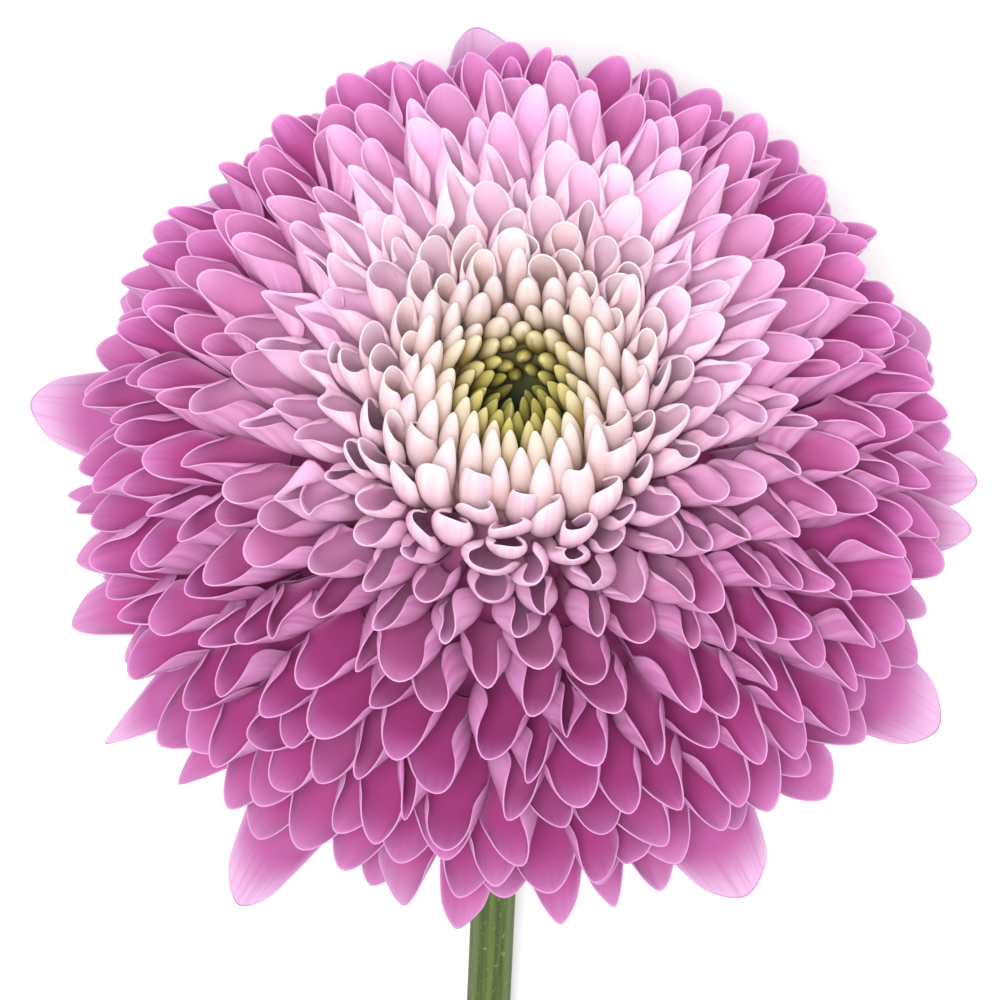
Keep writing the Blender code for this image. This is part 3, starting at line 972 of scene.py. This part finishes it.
def grid(bm, columns, rows):
    """Adds a grid that reaches from -1 to 1 both ways."""
    return bmesh.ops.create_grid(bm, x_segments=columns, y_segments=rows, size=1.0)["verts"]


def grow(bm, marks, floret, place, wall):
    """Adds one floret's inner face: a grid bent into its cup, clear of the floor."""
    verts = grid(bm, ACROSS, ALONG)
    rows = floret.rows()
    for vert in verts:
        across = -vert.co.x
        row = round(0.5 * (1 - vert.co.y) * ALONG)
        note(vert, marks, floret.age, rows[row], across, floret.tint)
        vert.co = place @ floret.spot(row, across)
    resting = floret.guard and round(degrees(floret.azimuth)) in RESTING
    target = wall + (0.0 if resting else FLOOR_GAP * MM)
    for _ in range(LIFT_TRIES):
        low = min(vert.co.z for vert in verts)
        if low > target and not resting:
            break
        for vert in verts:
            vert.co.z += (target - low) * vert[marks["along"]] ** 2


def grow_bud(bm, marks, floret, place):
    """Adds one closed bud: a ball drawn out along the spine, creased on its inner side."""
    ball = bmesh.ops.create_uvsphere(bm, u_segments=BUD_SIDES, v_segments=BUD_RINGS, radius=1.0)
    for vert in ball["verts"]:
        x, y, z = vert.co
        side = atan2(y, x)
        share = 0.5 * (1 - z)
        spot = floret.bud_point(share, side)
        if hypot(x, y) < TINY:
            spot = 0.5 * (floret.bud_point(share, 0.0) + floret.bud_point(share, pi))
        along = 1 - floret.behind(share) / floret.reach
        inward = abs(remainder(side + 0.5 * pi, 2 * pi)) / pi
        note(vert, marks, floret.age, along, inward, floret.tint)
        vert.co = place @ spot


def grow_bract(bm, marks, place, angle, form, draw):
    """Adds one bract's upper face: a small pointed leaf, its margins raised."""
    radius, height, reach, rise, half = form
    reach *= 1 + VARY_BRACT * either(draw)
    out = Vector((cos(angle), sin(angle), 0))
    side = Vector((sin(angle), -cos(angle), 0))
    verts = grid(bm, *BRACT_FACES)
    for vert in verts:
        across = vert.co.x
        along = 0.5 * (vert.co.y + 1)
        share = mixed(BRACT_ROOT, 1.0, along)
        width = mixed(0.8, 1.0, smooth(0.0, 0.5, along)) * sqrt(1.03 - along ** 4)
        lift = 0.05 + 0.2 * across ** 2 - 0.25 * smooth(0.6, 1.0, along)
        spot = out * (radius + reach * share) + side * (half * width * across)
        spot.z = height + rise * share + lift
        note(vert, marks, 0.0, along, across, 0.0)
        vert.co = place @ spot


def stem_path(lay, form):
    """Centres, directions and shares: an arc out of the calyx, then nearly level to the cut."""
    start = bloom_place(lay) @ Vector((0, 0, CUP_BOTTOM - STEM_GAP))
    foot = form.radius * cos(form.slope) + form.straight * sin(form.slope)
    bend = (start.z - foot) / (cos(form.slope) - cos(lay.rise))
    arc = bend * (lay.rise - form.slope)
    whole = arc + form.straight
    path = []
    for i in range(STEM_RINGS + 1):
        s = whole * i / STEM_RINGS
        slope = lay.rise - min(s, arc) / bend
        beyond = max(0.0, s - arc)
        y = start.y + bend * (sin(lay.rise) - sin(slope)) + beyond * cos(slope)
        z = start.z - bend * (cos(slope) - cos(lay.rise)) - beyond * sin(slope)
        path.append((Vector((start.x, y, z)), Vector((0, cos(slope), -sin(slope))), s / whole))
    return path


def made_object(name, bm, materials):
    """An object in the scene, at the origin with its place in its mesh."""
    mesh = bpy.data.meshes.new(name)
    bm.to_mesh(mesh)
    bm.free()
    obj = bpy.data.objects.new(name, mesh)
    bpy.context.scene.collection.objects.link(obj)
    for material in materials:
        mesh.materials.append(material)
    return obj


def piece(name, bm, materials, replaces=()):
    """A finished object of the part."""
    obj = made_object(name, bm, materials)
    obj.data.shade_smooth()
    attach(obj, BODY)
    if replaces:
        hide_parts(*replaces)
    return obj


def smoothed(obj):
    finer = obj.modifiers.new("smooth", "SUBSURF")
    finer.levels = finer.render_levels = 1


def thicken(obj, wall):
    """Gives a piece of faces its thickness, with materials of their own for backs and rims."""
    solid = obj.modifiers.new("wall", "SOLIDIFY")
    solid.thickness = wall
    solid.offset = -1
    solid.material_offset = 1
    solid.material_offset_rim = 2


def build_florets(name, florets, looks):
    """One piece of the head, of closed buds or of open florets."""
    lay = bpy.context.scene.bloom_lay
    place = bloom_place(lay)
    buds = florets[0].polar < BUD_POLAR
    bm, marks = marked_mesh()
    for floret in florets:
        if buds:
            grow_bud(bm, marks, floret, place)
        else:
            grow(bm, marks, floret, place, lay.petal)
    if name == EYE_PIECE:
        obj = piece(name, bm, looks, ("eye_florets",))
    else:
        obj = piece(name, bm, looks, ("ray_florets",))
    if not buds:
        thicken(obj, lay.petal)
    smoothed(obj)


def spun(bm, profile, place):
    """A turned solid about the bloom's axis, from (radius, height) pairs in millimetres."""
    verts = [bm.verts.new((r, 0, z)) for r, z in profile]
    edges = [bm.edges.new(pair) for pair in zip(verts, verts[1:])]
    bmesh.ops.spin(
        bm, geom=verts + edges, cent=(0, 0, 0), axis=(0, 0, 1), angle=2 * pi,
        steps=TURNED_STEPS, use_merge=True,
    )
    bmesh.ops.remove_doubles(bm, verts=bm.verts[:], dist=TINY)
    bmesh.ops.recalc_face_normals(bm, faces=bm.faces[:])
    bmesh.ops.transform(bm, matrix=place, verts=bm.verts[:])


class BLOOM_OT_head(bpy.types.Operator):
    """Grow the head: eye, buds, ray florets and guard petals"""

    bl_idname = "bloom.head"
    bl_label = "Head"

    def execute(self, context):
        scene = context.scene
        florets = plan_bloom(scene.bloom_lay.seed)
        paint = scene.bloom_colours
        open_looks = [petal_inside(paint), petal_back(paint), petal_rim_highlight(paint)]
        bud_looks = {EYE_PIECE: [bud_green(paint)], BUD_PIECE: [bud_cream(paint)]}
        low = 0.0
        for name, high in ZONES:
            chosen = [f for f in florets if low <= f.polar < high and not f.guard]
            build_florets(name, chosen, bud_looks.get(name, open_looks))
            low = high
        build_florets("guard_petals", [f for f in florets if f.guard], open_looks)
        return {"FINISHED"}


class BLOOM_OT_heart(bpy.types.Operator):
    """Turn the middle that the florets stand out of, painted dark as shade between them"""

    bl_idname = "bloom.heart"
    bl_label = "Middle of the head"

    def execute(self, context):
        bm = bmesh.new()
        place = bloom_place(context.scene.bloom_lay)
        profile = list(UNDERSIDE)
        for polar, reach in MIDDLE:
            a = radians(polar)
            profile.append((reach * sin(a), reach * cos(a)))
        spun(bm, profile, place)
        age = bm.verts.layers.float.new("age")
        back = place.inverted()
        for vert in bm.verts:
            local = back @ vert.co
            polar = degrees(atan2(hypot(local.x, local.y), local.z))
            # Colour stage of each point, with the same painted light and shade by side as the florets
            vert[age] = ripeness_and_painted_shade(polar, atan2(local.y, local.x))
        piece("head_middle", bm, [heart_painted_shade(context.scene.bloom_colours)])
        return {"FINISHED"}


class BLOOM_OT_calyx(bpy.types.Operator):
    """Turn the calyx's cup and set three rows of bracts round it"""

    bl_idname = "bloom.calyx"
    bl_label = "Calyx"

    def execute(self, context):
        scene = context.scene
        place = bloom_place(scene.bloom_lay)
        green = [bract_green(scene.bloom_colours)]
        bm = bmesh.new()
        spun(bm, CUP, place)
        smoothed(piece("calyx_cup", bm, green, ("calyx",)))
        bm, marks = marked_mesh()
        draw = random.Random(scene.bloom_lay.seed)
        for number, phase, *form in BRACT_ROWS:
            for k in range(number):
                angle = 2 * pi * (k + phase) / number
                grow_bract(bm, marks, place, angle, form, draw)
        bracts = piece("bracts", bm, green, ("calyx",))
        thicken(bracts, BRACT_WALL * MM)
        smoothed(bracts)
        return {"FINISHED"}


class BLOOM_OT_stem(bpy.types.Operator):
    """Lay the ribbed stem from the calyx to its slanting cut"""

    bl_idname = "bloom.stem"
    bl_label = "Stem"

    def execute(self, context):
        scene = context.scene
        form = scene.stem_form
        path = stem_path(scene.bloom_lay, form)
        bm, marks = marked_mesh()
        verts = grid(bm, STEM_SIDES, STEM_RINGS)
        for vert in verts:
            angle = pi * vert.co.x
            ring = round(0.5 * (vert.co.y + 1) * STEM_RINGS)
            centre, direction, share = path[ring]
            over = direction.cross(Vector((1, 0, 0))).normalized()
            crest = 0.5 * (1 + cos(STEM_RIBS * angle))
            radius = form.radius + form.flare * exp(-share / FLARE_FADE) + form.rib * (crest - 1)
            offset = (Vector((1, 0, 0)) * sin(angle) - over * cos(angle)) * radius
            vert.co = centre + offset
            if ring == STEM_RINGS:
                vert.co += direction * offset.dot(over) * tan(form.slant)
            note(vert, marks, 0.0, share, crest, 0.0)
        low = min(vert.co.z for vert in verts)
        for vert in verts:
            vert.co.z -= low * vert[marks["along"]] ** 2
        bmesh.ops.remove_doubles(bm, verts=bm.verts[:], dist=SEAM * MM)
        open_edges = [edge for edge in bm.edges if edge.is_boundary]
        for edge in open_edges:
            edge.smooth = False
        caps = bmesh.ops.holes_fill(bm, edges=open_edges, sides=0)["faces"]
        if len(caps) != 2:
            raise RuntimeError("the stem's two ends didn't close")
        cut = max(caps, key=lambda face: face.calc_center_median().y)
        bmesh.ops.inset_region(bm, faces=[cut], thickness=CUT_RING * MM, depth=-CUT_DEPTH * MM)
        cut.material_index = 1
        bmesh.ops.recalc_face_normals(bm, faces=bm.faces[:])
        looks = [stalk_green(scene.bloom_colours), cut_pale()]
        piece("cut_stem", bm, looks, ("stem",))
        return {"FINISHED"}


class BLOOM_OT_stage(bpy.types.Operator):
    """Lay the pale floor and set the light and the camera"""

    bl_idname = "bloom.stage"
    bl_label = "Stage"

    def execute(self, context):
        scene = context.scene
        settings = scene.bloom_stage
        bm = bmesh.new()
        bmesh.ops.create_grid(bm, x_segments=1, y_segments=1, size=settings.floor)
        floor = made_object("floor", bm, [Finish("floor_white", 0.9).coat(settings.paper)])
        world = bpy.data.worlds.new("studio")
        world.use_nodes = True
        sky = world.node_tree.nodes["Background"].inputs
        sky["Color"].default_value = (1, 1, 1, 1)
        sky["Strength"].default_value = 1.0
        scene.world = world
        sun = bpy.data.lights.new("window", "SUN")
        sun.energy = settings.sun
        sun.angle = settings.softness
        key = bpy.data.objects.new("window", sun)
        scene.collection.objects.link(key)
        key.rotation_euler = Vector(settings.sun_from).to_track_quat("Z", "Y").to_euler()
        scene.view_settings.view_transform = "Standard"
        self.set_camera(scene)
        return {"FINISHED"}

    def set_camera(self, scene):
        lay, stage = scene.bloom_lay, scene.bloom_stage
        rise = lay.rise + stage.tilt
        back = Vector((0, -cos(rise), sin(rise)))
        roll = Matrix.Rotation(stage.roll, 3, back)
        up = roll @ Vector((0, -sin(rise), -cos(rise)))
        right = up.cross(back)
        data = bpy.data.cameras.new("camera")
        data.lens = data.sensor_width * stage.distance / stage.field
        data.clip_start = 0.01
        camera = bpy.data.objects.new("camera", data)
        place = Vector(lay.place) + back * stage.distance - right * stage.aside - up * stage.above
        camera.matrix_world = Matrix.Translation(place) @ Matrix((right, up, back)).transposed().to_4x4()
        scene.collection.objects.link(camera)
        scene.camera = camera


class BLOOM_PT_sidebar(bpy.types.Panel):
    """Everything the bloom is made with"""

    bl_label = "Bloom"
    bl_space_type = "VIEW_3D"
    bl_region_type = "UI"
    bl_category = "Bloom"

    def draw(self, context):
        for group in GROUPS:
            settings = getattr(context.scene, group)
            box = self.layout.box()
            for name in settings.bl_rna.properties.keys():
                if name not in ("rna_type", "name"):
                    box.prop(settings, name)
        for operator in STEPS:
            self.layout.operator(operator.bl_idname)


GROUPS = {
    "bloom_lay": BloomLay,
    "stem_form": StemForm,
    "bloom_colours": BloomColours,
    "bloom_stage": StageSettings,
}
STEPS = (BLOOM_OT_head, BLOOM_OT_heart, BLOOM_OT_calyx, BLOOM_OT_stem, BLOOM_OT_stage)


def register():
    for name, group in GROUPS.items():
        bpy.utils.register_class(group)
        setattr(bpy.types.Scene, name, PointerProperty(type=group))
    for kind in (*STEPS, BLOOM_PT_sidebar):
        bpy.utils.register_class(kind)


def unregister():
    for kind in (BLOOM_PT_sidebar, *reversed(STEPS)):
        bpy.utils.unregister_class(kind)
    for name, group in GROUPS.items():
        delattr(bpy.types.Scene, name)
        bpy.utils.unregister_class(group)


def main():
    register()
    for step in STEPS:
        family, name = step.bl_idname.split(".")
        getattr(getattr(bpy.ops, family), name)()


if __name__ == "__main__":
    main()
